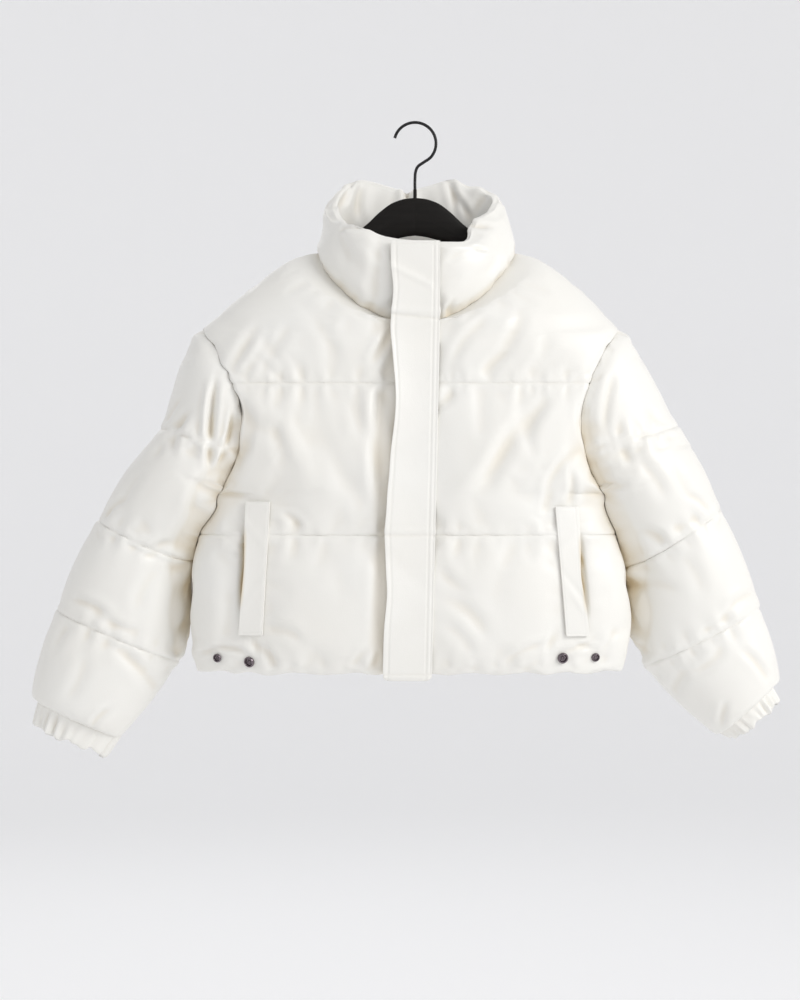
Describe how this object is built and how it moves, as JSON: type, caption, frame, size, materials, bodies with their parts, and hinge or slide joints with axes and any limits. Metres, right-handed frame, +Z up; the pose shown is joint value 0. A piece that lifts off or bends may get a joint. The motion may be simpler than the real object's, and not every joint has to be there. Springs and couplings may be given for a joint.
{
  "type": "puffer jacket on hanger",
  "caption": "Cropped cream puffer jacket with a stand collar, front placket, slanted welt pockets and gathered cuffs, hanging on a black wooden hanger with a wire hook.",
  "frame": {"origin": "inside top of the hanger's hook, where it rests on a rail or loop", "axes": "+Z up, -Y out of the jacket's front, +X towards the wearer's left"},
  "size_m": [0.9485, 0.1831, 0.7952],
  "materials": {
    "coated_cloth": "satin coated cloth, like smooth leather",
    "dark_metal": "polished gunmetal",
    "black_wood": "satin black paint",
    "black_wire": "gloss black coating"
  },
  "bodies": {
    "root": {"front_right": "coated_cloth", "front_left": "coated_cloth", "back": "coated_cloth", "sleeve_right": "coated_cloth", "cuff_right": "coated_cloth", "pocket_welt_right": "coated_cloth", "sleeve_left": "coated_cloth", "cuff_left": "coated_cloth", "pocket_welt_left": "coated_cloth", "collar": "coated_cloth", "placket": "coated_cloth", "snap_right_side": "dark_metal", "snap_right_front": "dark_metal", "snap_left_front": "dark_metal", "snap_left_side": "dark_metal", "hanger_bar": "black_wood", "hanger_hook": "black_wire"}
  },
  "joints": []
}
